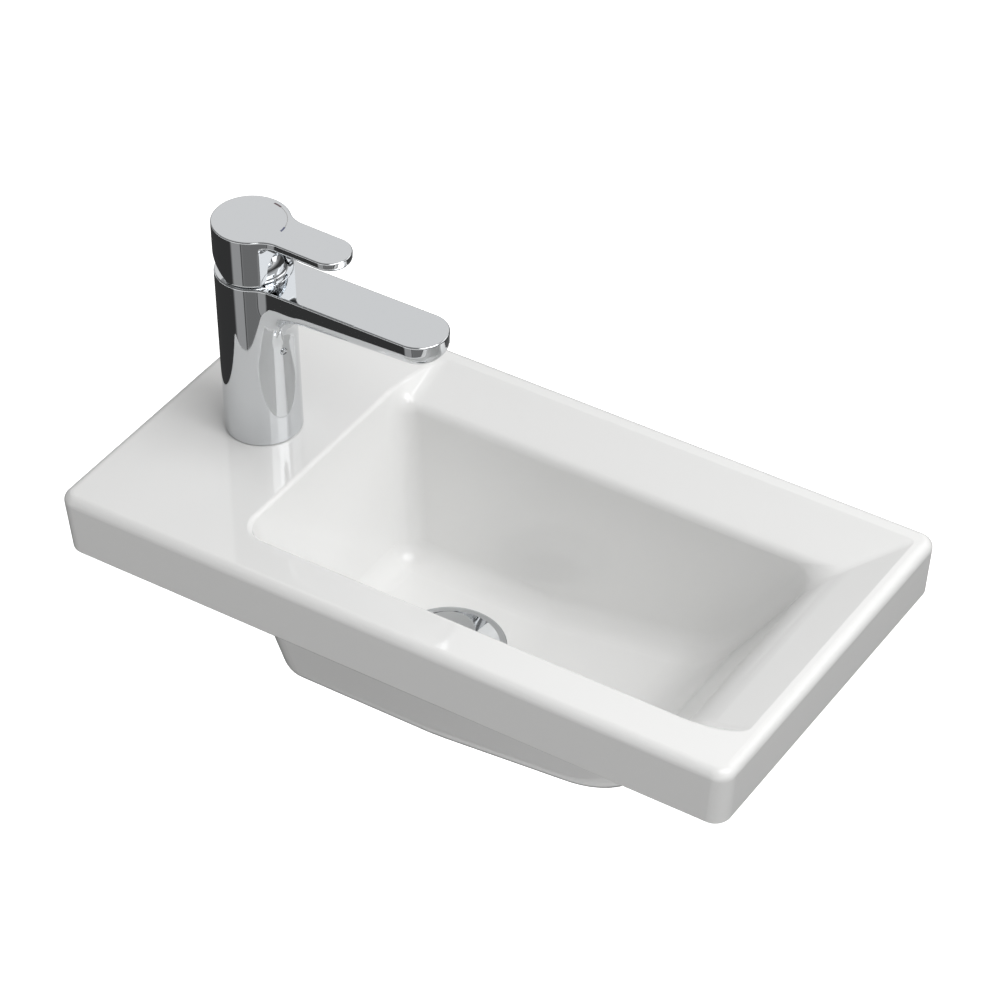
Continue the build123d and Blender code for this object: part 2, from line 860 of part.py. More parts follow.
# Lower disc, which stays still over the base's ports
with BuildPart() as fixed_disc:
    with BuildSketch(above_deck(disc_floor)):
        Circle(fixed_disc_radius)
        with Locations((inlet_offset, 0)):
            with GridLocations(0, port_spacing, 1, 2):
                Circle(port_radius, mode=Mode.SUBTRACT)
        with Locations((outlet_offset, 0)):
            Circle(outlet_radius, mode=Mode.SUBTRACT)
    extrude(amount=disc_thickness)
keep(fixed_disc, "fixed_disc")

# Upper disc and its carrier, shown shut: the stem's ball stands back from the axis by the lean
ball_x = -stem_arm * math.sin(math.radians(stem_lean))
with BuildPart() as moving_disc:
    with BuildSketch(above_deck(disc_floor + disc_thickness)):
        with Locations((ball_x, 0)):
            Circle(moving_disc_radius)
    extrude(amount=disc_thickness)
    with BuildSketch(above_deck(disc_floor + disc_thickness)):
        with Locations((ball_x - pocket_set_back, 0)):
            RectangleRounded(pocket_length, pocket_width, pocket_corner)
    extrude(amount=pocket_depth, mode=Mode.SUBTRACT)
keep(moving_disc, "moving_disc")

with BuildPart() as disc_carrier:
    with BuildSketch(above_deck(carrier_floor)):
        with Locations((ball_x, 0)):
            Circle(carrier_radius)
    extrude(amount=carrier_plate)
    with BuildSketch(above_deck(carrier_floor + carrier_plate)):
        with Locations((ball_x, 0)):
            RectangleRounded(2 * carrier_boss_half, 2 * carrier_boss_half, carrier_boss_corner)
    extrude(amount=carrier_boss_height)
    with BuildSketch(above_deck(carrier_floor + carrier_plate + carrier_boss_height)):
        with Locations((ball_x, 0)):
            Circle(ball_hole_radius)
    extrude(amount=-carrier_boss_height, mode=Mode.SUBTRACT)
keep(disc_carrier, "disc_carrier")

# Housing over the discs, with a shoulder that keeps the turret down
turret_floor = carrier_floor + carrier_plate + seat_clearance
turret_top = pivot_height + turret_rise
with BuildPart() as cartridge_housing:
    with BuildSketch(above_deck(disc_floor)):
        Circle(cartridge_radius)
    extrude(amount=housing_height)
    with BuildSketch(above_deck(disc_floor)):
        Circle(housing_inner)
    extrude(amount=turret_floor + turret_flange_height + running_clearance - disc_floor, mode=Mode.SUBTRACT)
    with BuildSketch(above_deck(shoulder)):
        Circle(turret_neck_radius + running_clearance)
    extrude(amount=-housing_height, mode=Mode.SUBTRACT)
keep(cartridge_housing, "cartridge_housing")

# Turret: turns with the lever, lets the carrier slide below it and holds the stem's pin
boss_travel = -2 * ball_x
with BuildPart() as turret:
    with BuildSketch(above_deck(turret_floor)):
        Circle(housing_inner - slide_clearance)
        Rectangle(
            2 * (carrier_boss_half + boss_travel / 2 + seat_clearance),
            2 * (carrier_boss_half + slide_clearance),
            mode=Mode.SUBTRACT,
        )
    extrude(amount=turret_flange_height)
    with BuildSketch(above_deck(turret_floor + turret_flange_height)):
        Circle(turret_neck_radius)
    extrude(amount=turret_top - turret_floor - turret_flange_height)
    with BuildSketch(above_deck(turret_top)):
        Rectangle(turret_slot_length, stem_width + 2 * slide_clearance)
    extrude(amount=turret_floor - turret_top, mode=Mode.SUBTRACT)
    with BuildSketch(pivot_section):
        Circle(pin_radius + running_clearance)
    extrude(amount=2 * turret_neck_radius, both=True, mode=Mode.SUBTRACT)
keep(turret, "turret")

with BuildPart() as stem_pin:
    with BuildSketch(pivot_section):
        Circle(pin_radius)
    extrude(amount=pin_length / 2, both=True)
    chamfer(stem_pin.edges().filter_by(GeomType.CIRCLE), pin_chamfer)
keep(stem_pin, "stem_pin")

# Stem: a flat bar on the pin, with a neck and a ball below it
stem_lean_plane = Plane(
    origin=pivot_section.origin,
    x_dir=(math.cos(math.radians(stem_lean)), 0, -math.sin(math.radians(stem_lean))),
    z_dir=(math.sin(math.radians(stem_lean)), 0, math.cos(math.radians(stem_lean))),
)
with BuildPart() as cartridge_stem:
    with BuildSketch(stem_lean_plane.offset(-stem_below)):
        Rectangle(stem_depth, stem_width)
    extrude(amount=stem_below + stem_above)
    chamfer(cartridge_stem.edges().sort_by(Axis.Z)[-4:], stem_chamfer)
    with BuildSketch(stem_lean_plane.offset(-stem_arm)):
        Circle(stem_neck_radius)
    extrude(amount=stem_arm - stem_below)
    with Locations(stem_lean_plane.offset(-stem_arm)):
        Sphere(stem_ball)
    with BuildSketch(pivot_section):
        Circle(pin_radius + running_clearance)
    extrude(amount=stem_width, both=True, mode=Mode.SUBTRACT)
keep(cartridge_stem, "cartridge_stem")

# Ring nut that holds the cartridge down, with four notches for its key
with BuildPart() as cartridge_nut:
    with BuildSketch(above_deck(shoulder)):
        Circle(nut_thread_radius - thread_clearance)
        Circle(cartridge_nut_bore, mode=Mode.SUBTRACT)
    extrude(amount=cartridge_nut_height)
    with BuildSketch(above_deck(shoulder + cartridge_nut_height)):
        with PolarLocations(nut_thread_radius, 4):
            Rectangle(2 * cartridge_nut_notch, cartridge_nut_notch)
    extrude(amount=-cartridge_nut_height / 2, mode=Mode.SUBTRACT)
keep(cartridge_nut, "cartridge_nut")

# Cover: a domed ring round the pivot
dome_top = math.sqrt(cover_radius**2 - cover_hole_radius**2)
dome_inner_top = math.sqrt((cover_radius - cover_wall) ** 2 - cover_hole_radius**2)
dome_turn = math.acos(cover_hole_radius / cover_radius) / 2
cover_foot = cover_seat - pivot_height
with BuildPart() as cartridge_cover:
    with BuildSketch(pivot_section):
        with BuildLine():
            Line((cover_radius, cover_foot), (cover_radius, 0))
            ThreePointArc(
                (cover_radius, 0),
                (cover_radius * math.cos(dome_turn), cover_radius * math.sin(dome_turn)),
                (cover_hole_radius, dome_top),
            )
            Line((cover_hole_radius, dome_top), (cover_hole_radius, dome_inner_top))
            ThreePointArc(
                (cover_hole_radius, dome_inner_top),
                (
                    (cover_radius - cover_wall) * math.cos(dome_turn),
                    (cover_radius - cover_wall) * math.sin(dome_turn),
                ),
                (cover_radius - cover_wall, 0),
            )
            Polyline(
                (cover_radius - cover_wall, 0),
                (cover_radius - cover_wall, cover_foot),
                (cover_radius, cover_foot),
            )
        make_face()
    revolve(axis=tap_axis)
keep(cartridge_cover, "cartridge_cover")


# Lever: a cap over the cover, with a paddle handle over the spout
lever_floor = body_height + lever_gap
cap_height = lever_height - lever_floor
handle_end = handle_reach - handle_half_width
stem_slope = math.tan(math.radians(stem_lean))
grub_tip = (grub_height - pivot_height - grub_radius) * stem_slope - stem_depth / 2 - seat_clearance
with BuildPart() as lever:
    with BuildSketch(above_deck(lever_floor)):
        Circle(body_radius)
    extrude(amount=cap_height)
    with BuildSketch(above_deck(lever_height - handle_thickness)):
        Circle(body_radius)
        with Locations((handle_end / 2, 0)):
            Rectangle(handle_end, 2 * handle_half_width)
        with Locations((handle_end, 0)):
            Circle(handle_half_width)
        neck = vertices().filter_by(lambda v: 0 < v.X < body_radius and abs(v.Y) > handle_half_width - near)
        fillet(neck, handle_neck_radius)
    extrude(amount=handle_thickness)
    fillet(lever.faces().sort_by(Axis.Z)[-1].edges(), lever_edge)
    # The back of the cap is cut away below, so that it clears the body when the handle lifts
    with BuildSketch(tap_section):
        with BuildLine():
            Polyline(
                (lever_back_start, lever_floor),
                (-2 * body_radius, lever_floor),
                (
                    -2 * body_radius,
                    lever_floor
                    + (2 * body_radius + lever_back_start) * math.tan(math.radians(lever_back_angle)),
                ),
                close=True,
            )
        make_face()
    extrude(amount=2 * body_radius, both=True, mode=Mode.SUBTRACT)
    # Arch in the front wall, with its bevelled edge
    with BuildSketch(tap_across.offset(arch_depth_start)):
        with BuildLine():
            FilletPolyline(
                (-arch_half_width, lever_floor - overrun),
                (-arch_top_half_width, arch_top),
                (arch_top_half_width, arch_top),
                (arch_half_width, lever_floor - overrun),
                radius=[arch_corner, arch_corner],
                close=False,
            )
            Line((arch_half_width, lever_floor - overrun), (-arch_half_width, lever_floor - overrun))
        make_face()
    extrude(amount=2 * body_radius, mode=Mode.SUBTRACT)
    arch_edges = lever.edges().filter_by(
        lambda e: e.center().X > tap_x + arch_depth_start + near
        and abs(math.hypot((e @ 0.5).X - tap_x, (e @ 0.5).Y - middle_y) - body_radius) < near
        and rim_height + lever_floor + near < e.center().Z < rim_height + arch_top + near
    )
    chamfer(arch_edges, arch_chamfer)
    # Cavity round the cover, then the stem's socket and the screw hole behind it
    with Locations(pivot_section.origin):
        Sphere(cover_radius + lever_cavity_gap, mode=Mode.SUBTRACT)
    with BuildSketch(stem_lean_plane):
        Rectangle(stem_depth + slide_clearance, stem_width + slide_clearance)
    extrude(amount=stem_above + seat_clearance, mode=Mode.SUBTRACT)
    with BuildSketch(
        Plane(origin=(tap_x + grub_tip + overrun, middle_y, rim_height + grub_height), z_dir=(-1, 0, 0))
    ):
        Circle(grub_radius + thread_clearance)
    extrude(amount=2 * body_radius, mode=Mode.SUBTRACT)
keep(lever, "lever")

# Grub screw against the stem, and the cap that hides its hole
with BuildPart() as lever_grub_screw:
    with BuildSketch(
        Plane(origin=(tap_x + grub_tip, middle_y, rim_height + grub_height), z_dir=(-1, 0, 0))
    ):
        Circle(grub_radius)
    extrude(amount=grub_length)
    with BuildSketch(lever_grub_screw.faces().sort_by(Axis.X)[0]):
        RegularPolygon(grub_key / 2, 6, major_radius=False)
    extrude(amount=-grub_key_depth, mode=Mode.SUBTRACT)
keep(lever_grub_screw, "lever_grub_screw")

with BuildPart() as grub_screw_cap:
    with BuildSketch(
        Plane(
            origin=(
                tap_x - body_radius + grub_cap_recess + grub_cap_length,
                middle_y,
                rim_height + grub_height,
            ),
            z_dir=(-1, 0, 0),
        )
    ):
        Circle(grub_radius)
    extrude(amount=grub_cap_length)
    fillet(grub_screw_cap.edges().group_by(Axis.X)[0], grub_cap_edge)
keep(grub_screw_cap, "grub_screw_cap")
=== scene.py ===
import math

import bmesh
import bpy
from mathutils import Matrix, Vector


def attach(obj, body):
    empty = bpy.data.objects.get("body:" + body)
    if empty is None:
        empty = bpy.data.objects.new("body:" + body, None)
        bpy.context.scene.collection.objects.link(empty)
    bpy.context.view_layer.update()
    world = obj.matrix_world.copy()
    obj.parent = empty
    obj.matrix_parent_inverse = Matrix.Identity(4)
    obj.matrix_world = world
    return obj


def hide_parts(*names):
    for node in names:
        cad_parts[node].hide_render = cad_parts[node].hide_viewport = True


# Vanity basin with a single-lever mixer at one end and a push-open waste.
# Metres, in the CAD frame: the tap stands at the -X end, -Y is the front and +Z is up.

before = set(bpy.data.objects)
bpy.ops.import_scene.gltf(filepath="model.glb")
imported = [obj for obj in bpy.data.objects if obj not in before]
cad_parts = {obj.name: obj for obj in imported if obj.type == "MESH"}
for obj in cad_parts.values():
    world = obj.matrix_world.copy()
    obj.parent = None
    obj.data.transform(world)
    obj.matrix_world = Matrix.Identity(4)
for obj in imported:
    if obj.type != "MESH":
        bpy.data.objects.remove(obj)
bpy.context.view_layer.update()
bpy.ops.object.select_all(action="DESELECT")

mm = 0.001
deckHeight = 0.040
tapAxis = Vector((-0.162, -0.119, deckHeight))  # foot of the mixer's axis on the deck
wasteAxis = Vector((-0.035, -0.119, -0.077))  # centre of the waste on the bowl floor
print("frame loaded:", len(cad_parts), "CAD nodes")


def linearColour(hexColour):  # "#RRGGBB" in sRGB to linear RGBA
    channels = [int(hexColour[i : i + 2], 16) / 255 for i in (1, 3, 5)]
    return [c / 12.92 if c <= 0.04045 else ((c + 0.055) / 1.055) ** 2.4 for c in channels] + [1]


def addNode(tree, kind, inputs=None, **settings):  # an input's value is a number or a socket to link
    node = tree.nodes.new(kind)
    for name, value in settings.items():
        setattr(node, name, value)
    for name, value in (inputs or {}).items():
        if isinstance(value, bpy.types.NodeSocket):
            tree.links.new(value, node.inputs[name])
        else:
            node.inputs[name].default_value = value
    return node


# Room: a plain white floor far below the hanging basin, and a studio that is white above and to
# the right and dark low on the left, which is what the chrome shows.

room = {
    "floorHeight": -0.85,  # rim height above the floor of a wall-hung basin
    "floorSize": 12,
    "floorColour": "#F6F6F6",
    "floorGlow": 0.75,  # lifts the paper to white
    "above": 0.25,
    "below": 0.8,
}
panels = [  # boards and boxes the chrome shows: azimuth from +X and height of the middle, in degrees
    {"name": "rightWindow", "towards": (-4, 42), "half": (45, 22), "fade": 14, "level": 0.85},
    {"name": "windowPane", "towards": (4, 41), "half": (15, 9), "fade": 5, "level": 3.4},
    {"name": "backWall", "towards": (124, 40), "half": (30, 16), "fade": 10, "level": 0.9},
    {"name": "rightLowBoard", "towards": (25, -46), "half": (62, 14), "fade": 8, "level": 0.15},
    {"name": "endLowBoard", "towards": (32, -17), "half": (66, 16), "fade": 8, "level": 0.06},
    {"name": "frontLowSheet", "towards": (-98, -13), "half": (58, 9), "fade": 6, "level": 1.7},
    {"name": "leftLowBoard", "towards": (182, -38), "half": (62, 22), "fade": 8, "level": 0.045},
    {"name": "frontLowBoard", "towards": (-66, -40), "half": (22, 14), "fade": 8, "level": 0.2},
    {"name": "frontLowGrey", "towards": (-101, -40), "half": (11, 14), "fade": 9, "level": 0.4},
    {"name": "boardJoint", "towards": (-87, -40), "half": (1, 14), "fade": 1.2, "level": 0.09},
]
softboxes = [
    {"name": "keySoftbox", "towards": (-14, 63), "distance": 1.2, "size": (1.0, 0.8), "power": 7.8},
    {"name": "backSoftbox", "towards": (62, 38), "distance": 2.0, "size": (1.3, 0.8), "power": 4.4},
]


def towards(azimuth, height):  # unit vector, azimuth from +X in degrees
    a = math.radians(azimuth)
    h = math.radians(height)
    return Vector((math.cos(a) * math.cos(h), math.sin(a) * math.cos(h), math.sin(h)))


bpy.ops.mesh.primitive_plane_add(size=room["floorSize"], location=(0, 0, room["floorHeight"]))
floor = bpy.context.active_object
floor.name = "studioFloor"
floor.visible_glossy = False
floor.visible_diffuse = False
paper = bpy.data.materials.new("whitePaperSweep")
paper.use_nodes = True
paperShader = paper.node_tree.nodes["Principled BSDF"]
paperShader.inputs["Base Color"].default_value = linearColour(room["floorColour"])
paperShader.inputs["Roughness"].default_value = 0.9
paperShader.inputs["Emission Color"].default_value = (1, 1, 1, 1)
paperShader.inputs["Emission Strength"].default_value = room["floorGlow"]
floor.data.materials.append(paper)

world = bpy.data.worlds.new("studioRoom")
bpy.context.scene.world = world
world.use_nodes = True
tree = world.node_tree
tree.nodes.clear()
direction = addNode(tree, "ShaderNodeTexCoord").outputs["Generated"]
parts = addNode(tree, "ShaderNodeSeparateXYZ", {"Vector": direction})
height = parts.outputs["Z"]
upper = addNode(
    tree,
    "ShaderNodeMapRange",
    {"Value": height, "From Min": -0.12, "From Max": 0.02},
    interpolation_type="SMOOTHSTEP",
).outputs["Result"]
level = addNode(
    tree, "ShaderNodeMix", {"Factor": upper, "A": room["below"], "B": room["above"]}
).outputs["Result"]
across = addNode(tree, "ShaderNodeMath", {0: parts.outputs["Y"], 1: parts.outputs["X"]}, operation="ARCTAN2")
rise = addNode(tree, "ShaderNodeMath", {0: height}, operation="ARCSINE")


def insidePanel(angle, middle, half, fade):  # 1 inside the panel's span, fading to 0 past its edge
    gap = addNode(tree, "ShaderNodeMath", {0: angle, 1: math.radians(middle)}, operation="SUBTRACT")
    wrapped = addNode(
        tree, "ShaderNodeMath", {0: gap.outputs["Value"], 1: math.pi, 2: -math.pi}, operation="WRAP"
    )
    distance = addNode(tree, "ShaderNodeMath", {0: wrapped.outputs["Value"]}, operation="ABSOLUTE")
    return addNode(
        tree,
        "ShaderNodeMapRange",
        {
            "Value": distance.outputs["Value"],
            "From Min": math.radians(half),
            "From Max": math.radians(half + fade),
            "To Min": 1.0,
            "To Max": 0.0,
        },
        interpolation_type="SMOOTHSTEP",
    ).outputs["Result"]


for panel in panels:
    wide = insidePanel(across.outputs["Value"], panel["towards"][0], panel["half"][0], panel["fade"])
    tall = insidePanel(rise.outputs["Value"], panel["towards"][1], panel["half"][1], panel["fade"])
    share = addNode(tree, "ShaderNodeMath", {0: wide, 1: tall}, operation="MULTIPLY").outputs["Value"]
    level = addNode(tree, "ShaderNodeMix", {"Factor": share, "A": level, "B": panel["level"]}).outputs["Result"]
background = addNode(tree, "ShaderNodeBackground", {"Color": (1, 1, 1, 1), "Strength": level})
addNode(tree, "ShaderNodeOutputWorld", {"Surface": background.outputs["Background"]})

for box in softboxes:
    light = bpy.data.lights.new(box["name"], "AREA")
    light.shape = "RECTANGLE"
    light.size, light.size_y = box["size"]
    light.energy = box["power"]
    lamp = bpy.data.objects.new(box["name"], light)
    bpy.context.scene.collection.objects.link(lamp)
    away = towards(*box["towards"])
    lamp.location = Vector((0.1, -0.119, 0)) + away * box["distance"]
    lamp.rotation_euler = away.to_track_quat("Z", "Y").to_euler()
print("room lit:", len(panels), "panels and", len(softboxes), "softboxes")

# Camera solved from the basin's corners
view = {
    "azimuth": 33.751,
    "elevation": 39.48,
    "roll": -1.134,
    "aim": (0, -0.1125, 0.018),
    "distance": 2.3508,
    "sideStep": -0.000467,
    "upStep": 0.02183,
    "lens": 146.34,
}
azimuth, elevation, roll = (math.radians(view[k]) for k in ("azimuth", "elevation", "roll"))
back = Vector(
    (math.sin(azimuth) * math.cos(elevation), -math.cos(azimuth) * math.cos(elevation), math.sin(elevation))
)
level = Vector((math.cos(azimuth), math.sin(azimuth), 0))
upright = back.cross(level)
right = math.cos(roll) * level + math.sin(roll) * upright
up = math.cos(roll) * upright - math.sin(roll) * level
place = Vector(view["aim"]) + back * view["distance"] + right * view["sideStep"] + up * view["upStep"]
turned = Matrix((right, up, back)).transposed().to_4x4()
cameraData = bpy.data.cameras.new("photoCamera")
cameraData.lens = view["lens"]
cameraData.sensor_width = 36
camera = bpy.data.objects.new("photoCamera", cameraData)
camera.matrix_world = Matrix.Translation(place) @ turned
bpy.context.scene.collection.objects.link(camera)
bpy.context.scene.camera = camera
bpy.context.scene.view_settings.view_transform = "Standard"
bpy.context.scene.view_settings.look = "None"
print("camera placed")


# Materials: each starts from one shader with its constants on its own sockets


def startMaterial(name, colour, metallic=0.0, roughness=0.5, **more):
    material = bpy.data.materials.new(name)
    material.use_nodes = True
    shader = material.node_tree.nodes["Principled BSDF"]
    shader.inputs["Base Color"].default_value = linearColour(colour)
    shader.inputs["Metallic"].default_value = metallic
    shader.inputs["Roughness"].default_value = roughness
    for socket, value in more.items():
        shader.inputs[socket].default_value = value
    coordinates = addNode(material.node_tree, "ShaderNodeTexCoord").outputs["Object"]
    return material, material.node_tree, shader, coordinates


def addGrain(tree, shader, coordinates, grainSize, depth, detail=2.0, stretch=(1, 1, 1)):
    # bumps of about grainSize metres across and depth metres high
    spread = addNode(tree, "ShaderNodeMapping", {"Vector": coordinates})
    spread.inputs["Scale"].default_value = stretch
    noise = addNode(
        tree, "ShaderNodeTexNoise", {"Vector": spread.outputs["Vector"], "Scale": 1 / grainSize, "Detail": detail}
    )
    bump = addNode(tree, "ShaderNodeBump", {"Height": noise.outputs["Fac"], "Distance": depth, "Strength": 1.0})
    tree.links.new(bump.outputs["Normal"], shader.inputs["Normal"])
    return noise, bump


def varyRoughness(tree, shader, value, low, high):
    span = addNode(
        tree, "ShaderNodeMapRange", {"Value": value, "From Min": 0.3, "From Max": 0.7, "To Min": low, "To Max": high}
    )
    tree.links.new(span.outputs["Result"], shader.inputs["Roughness"])


# Vitreous china, slip-cast, glazed and fired: white with a deep gloss and the faint waviness of
# a glaze that has run
glazedChina, tree, shader, coordinates = startMaterial("glazedVitreousChina", "#E8E8E7", roughness=0.06, IOR=1.52)
noise, bump = addGrain(tree, shader, coordinates, 28 * mm, 0.05 * mm)

# Chromium over polished brass: a near mirror, with a haze that only shows along the light
chromePlate, tree, shader, coordinates = startMaterial("polishedChromePlate", "#D2D4D6", metallic=1.0, roughness=0.035)
noise, bump = addGrain(tree, shader, coordinates, 18 * mm, 0.004 * mm)
varyRoughness(tree, shader, noise.outputs["Fac"], 0.025, 0.05)

# Free-cutting brass, turned and left bare: yellow metal with fine tool rings
turnedBrass, tree, shader, coordinates = startMaterial("turnedBrass", "#B9975B", metallic=1.0, roughness=0.3)
noise, bump = addGrain(tree, shader, coordinates, 3 * mm, 0.02 * mm, stretch=(0.3, 0.3, 3))

# Steel, zinc-plated and passivated: bluish grey with a dull sparkle
zincPlate, tree, shader, coordinates = startMaterial("zincPlatedSteel", "#AEB3B8", metallic=1.0, roughness=0.34)
noise, bump = addGrain(tree, shader, coordinates, 0.8 * mm, 0.01 * mm)
varyRoughness(tree, shader, noise.outputs["Fac"], 0.28, 0.42)

# Stainless steel, drawn or machined
stainlessSteel, tree, shader, coordinates = startMaterial("machinedStainless", "#BDBBB6", metallic=1.0, roughness=0.22)
noise, bump = addGrain(tree, shader, coordinates, 1 * mm, 0.008 * mm, stretch=(1, 1, 6))

# EPDM rubber, moulded: near black and matt
sealRubber, tree, shader, coordinates = startMaterial("mouldedRubber", "#242425", roughness=0.68)
noise, bump = addGrain(tree, shader, coordinates, 0.6 * mm, 0.02 * mm)

# Polypropylene, moulded: the white slip washer
whitePlastic, tree, shader, coordinates = startMaterial("mouldedPolypropylene", "#E6E6E2", roughness=0.42)
noise, bump = addGrain(tree, shader, coordinates, 1.2 * mm, 0.01 * mm)

# Acetal, moulded: the grey inside parts
greyPlastic, tree, shader, coordinates = startMaterial("mouldedAcetal", "#8C9094", roughness=0.38)
noise, bump = addGrain(tree, shader, coordinates, 1.2 * mm, 0.01 * mm)

# Alumina, fired and lapped: the valve discs
lappedAlumina, tree, shader, coordinates = startMaterial("lappedAlumina", "#EDE8DC", roughness=0.16)
noise, bump = addGrain(tree, shader, coordinates, 0.5 * mm, 0.003 * mm)

finishes = {  # the record's slot to its material
    "china": glazedChina,
    "chrome": chromePlate,
    "aerator_ring": chromePlate,
    "aerator_plastic": greyPlastic,
    "brass": turnedBrass,
    "seal_rubber": sealRubber,
    "white_plastic": whitePlastic,
    "grey_plastic": greyPlastic,
    "zinc_steel": zincPlate,
    "stainless": stainlessSteel,
    "alumina": lappedAlumina,
}
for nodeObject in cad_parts.values():
    for slot in nodeObject.material_slots:
        slot.material = finishes[slot.material.name.split(".")[0]]
print("materials:", len(set(finishes.values())), "finishes on", len(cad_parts), "nodes")

# Tap: three castings are made again with the photograph's fuller spout, flat-fronted lever and
# rounded hems. Sizes in mm on the mixer's axis, heights above the deck.

bodyHeight = 113.6
barrelRadius = 23.3
pivotHeight = 112


def arcPoints(middle, radius, start, end, step=0.8):  # angles in degrees
    count = max(2, math.ceil(math.radians(abs(end - start)) * radius / step))
    turns = [math.radians(start + (end - start) * k / count) for k in range(count + 1)]
    return [(middle[0] + radius * math.cos(a), middle[1] + radius * math.sin(a)) for a in turns]


def linePoints(start, end, step=2.5):
    count = max(1, math.ceil(math.dist(start, end) / step))
    return [tuple(a + (b - a) * k / count for a, b in zip(start, end)) for k in range(count + 1)]


def keyholeOutline(halfWidth, reach, neck, creases=()):
    # the barrel with an arm towards +X, anticlockwise; creases are angles that get a corner of their own
    neckX = math.sqrt((barrelRadius + neck) ** 2 - (halfWidth + neck) ** 2)
    turn = math.degrees(math.atan2(halfWidth + neck, neckX))
    tipX = reach - halfWidth
    loop = arcPoints((0, 0), barrelRadius, turn, 360 - turn)
    loop += arcPoints((neckX, -halfWidth - neck), neck, 180 - turn, 90)[1:]
    loop += linePoints((neckX, -halfWidth), (tipX, -halfWidth))[1:]
    loop += arcPoints((tipX, 0), halfWidth, -90, 90)[1:]
    loop += linePoints((tipX, halfWidth), (neckX, halfWidth))[1:]
    loop += arcPoints((neckX, halfWidth + neck), neck, 270, 180 + turn)[1:-1]
    for crease in creases:
        for k, (a, b) in enumerate(zip(loop, loop[1:] + loop[:1])):
            low, high = (math.degrees(math.atan2(p[1], p[0])) for p in (a, b))
            if min(low, high) < crease < max(low, high) and abs(high - low) < 90:
                share = (crease - low) / (high - low)
                loop.insert(k + 1, (a[0] + (b[0] - a[0]) * share, a[1] + (b[1] - a[1]) * share))
                break
    return loop


def footRadiusAt(turn, front):  # the barrel in plan, cut flat at front when there is one
    if front and math.cos(turn) > 0:
        return min(barrelRadius, front / math.cos(turn))
    return barrelRadius


def castArm(name, outline, form):
    # each outline point gets one line of points: over the top edge, down the side, round the lower
    # edge, in along the underside, round the blend and down the barrel to its hem
    rows = []
    for k, point in enumerate(outline):
        here = Vector(point)
        along = Vector(outline[(k + 1) % len(outline)]) - Vector(outline[k - 1])
        outward = Vector((along.y, -along.x)).normalized()
        turn = math.atan2(here.y, here.x)
        foot = here.normalized() * footRadiusAt(turn, form.get("front"))
        run = max(0, (here - foot).length)
        run = run if run > 0.02 else 0
        line = []
        topRound = form["topRound"]
        for step in range(6):
            a = math.pi / 2 * (1 - step / 5)
            edge = here - outward * topRound * (1 - math.cos(a))
            line.append((edge.x, edge.y, form["top"](edge.x) - topRound * (1 - math.sin(a))))
        # far from the barrel the arm has its own underside, and near it one curve joins the two
        lowerRound = min(form["lowerRound"], 0.45 * run)
        inner = here - outward * lowerRound
        blend = min(form["blend"], 0.7 * (inner - foot).length)
        blendEnd = foot + (inner - foot).normalized() * blend if run else foot
        sideEnd = form["under"](here.x) + form["lowerRound"]
        wallStart = form["under"](blendEnd.x) - form["blend"]
        clear = min(1, max(0, (run - 6) / 26))
        clear = clear * clear * (3 - 2 * clear)
        for step in range(28):
            if step < 9:
                a = math.pi / 2 * step / 9
                edge = here - outward * lowerRound * (1 - math.cos(a))
                rise = form["under"](edge.x) + lowerRound * (1 - math.sin(a))
            elif step < 16:
                edge = inner.lerp(blendEnd, (step - 9) / 7)
                rise = form["under"](edge.x)
            else:
                a = math.pi / 2 * (step - 15) / 12
                edge = foot.lerp(blendEnd, 1 - math.sin(a))
                rise = form["under"](blendEnd.x) - blend * (1 - math.cos(a))
            t = step / 27
            bend = here.lerp(foot, t * t * (3 - 2 * t))
            middle = form["under"](bend.x)
            drop = (1 - t) ** 3 * sideEnd + 3 * t * (1 - t) * middle + t**3 * wallStart
            place = bend.lerp(edge, clear)
            line.append((place.x, place.y, drop + (rise - drop) * clear))
        for step in range(7):
            a = math.pi / 2 * step / 6
            hem = foot * (1 - form["hem"] * (1 - math.cos(a)) / foot.length)
            line.append((hem.x, hem.y, form["bottom"] + form["hem"] * (1 - math.sin(a))))
        rows.append(line)
    mesh = bpy.data.meshes.new(name)
    skin = bmesh.new()
    corners = [[skin.verts.new(Vector(p) * mm + tapAxis) for p in line] for line in rows]
    for k, line in enumerate(corners):
        beside = corners[(k + 1) % len(corners)]
        for j in range(len(line) - 1):
            skin.faces.new((line[j], line[j + 1], beside[j + 1], beside[j]))
    skin.faces.new([line[0] for line in corners])
    skin.faces.new([line[-1] for line in reversed(corners)])
    bmesh.ops.remove_doubles(skin, verts=skin.verts, dist=0.0005 * mm)
    bmesh.ops.dissolve_degenerate(skin, edges=skin.edges, dist=0.0005 * mm)
    bmesh.ops.recalc_face_normals(skin, faces=skin.faces)
    skin.to_mesh(mesh)
    skin.free()
    piece = bpy.data.objects.new(name, mesh)
    bpy.context.scene.collection.objects.link(piece)
    mesh.materials.append(chromePlate)
    return piece


def prism(name, corners, place, depth):
    # a cutter: corners are placed by place(u, v, w), with w at each end of depth
    skin = bmesh.new()
    ends = [[skin.verts.new(Vector(place(u, v, w)) * mm + tapAxis) for u, v in corners] for w in depth]
    skin.faces.new(ends[0])
    skin.faces.new(ends[1])
    for k in range(len(corners)):
        j = (k + 1) % len(corners)
        skin.faces.new((ends[0][k], ends[0][j], ends[1][j], ends[1][k]))
    bmesh.ops.recalc_face_normals(skin, faces=skin.faces)
    mesh = bpy.data.meshes.new(name)
    skin.to_mesh(mesh)
    skin.free()
    cutter = bpy.data.objects.new(name, mesh)
    bpy.context.scene.collection.objects.link(cutter)
    return cutter


